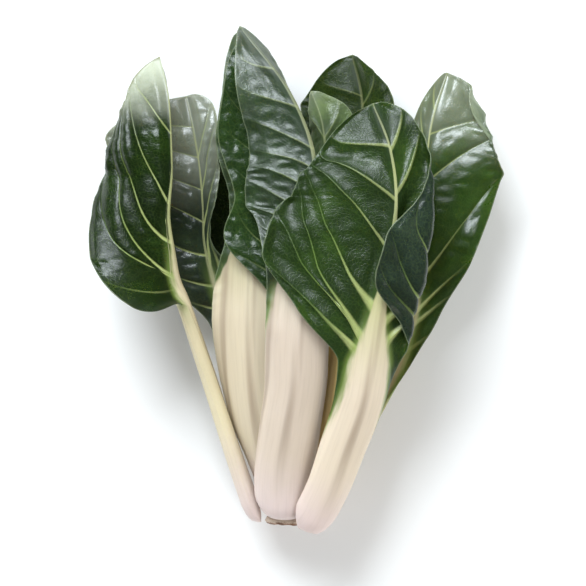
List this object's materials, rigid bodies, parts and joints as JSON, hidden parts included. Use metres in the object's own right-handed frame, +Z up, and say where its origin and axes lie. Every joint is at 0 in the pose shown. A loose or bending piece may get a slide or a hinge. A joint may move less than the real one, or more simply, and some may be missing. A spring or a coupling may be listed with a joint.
{
  "type": "swiss chard (head)",
  "caption": "Whole fresh leafy head with broad clasping white stalks and smooth dark green blades, lying on its side.",
  "frame": {"origin": "centre of the bounding box in X and Y, on the surface that the head lies on", "axes": "+Y from the cut foot to the leaf tips, +Z up, +X to the right as seen from above with the tips up"},
  "size_m": [0.2622, 0.322, 0.0983],
  "materials": {
    "leaf": "smooth waxy leaf, satin to glossy, running down into a cream-white fleshy stalk",
    "stem": "matte cut stem, cream with a dry brown face"
  },
  "bodies": {
    "root": {"leaf_left_outer": "leaf", "leaf_left_back": "leaf", "leaf_front": "leaf", "leaf_center_left": "leaf", "leaf_inner_right": "leaf", "leaf_heart_side": "leaf", "leaf_heart": "leaf", "leaf_right_front": "leaf", "leaf_right_back": "leaf", "leaf_under": "leaf", "crown": "stem"}
  },
  "joints": []
}
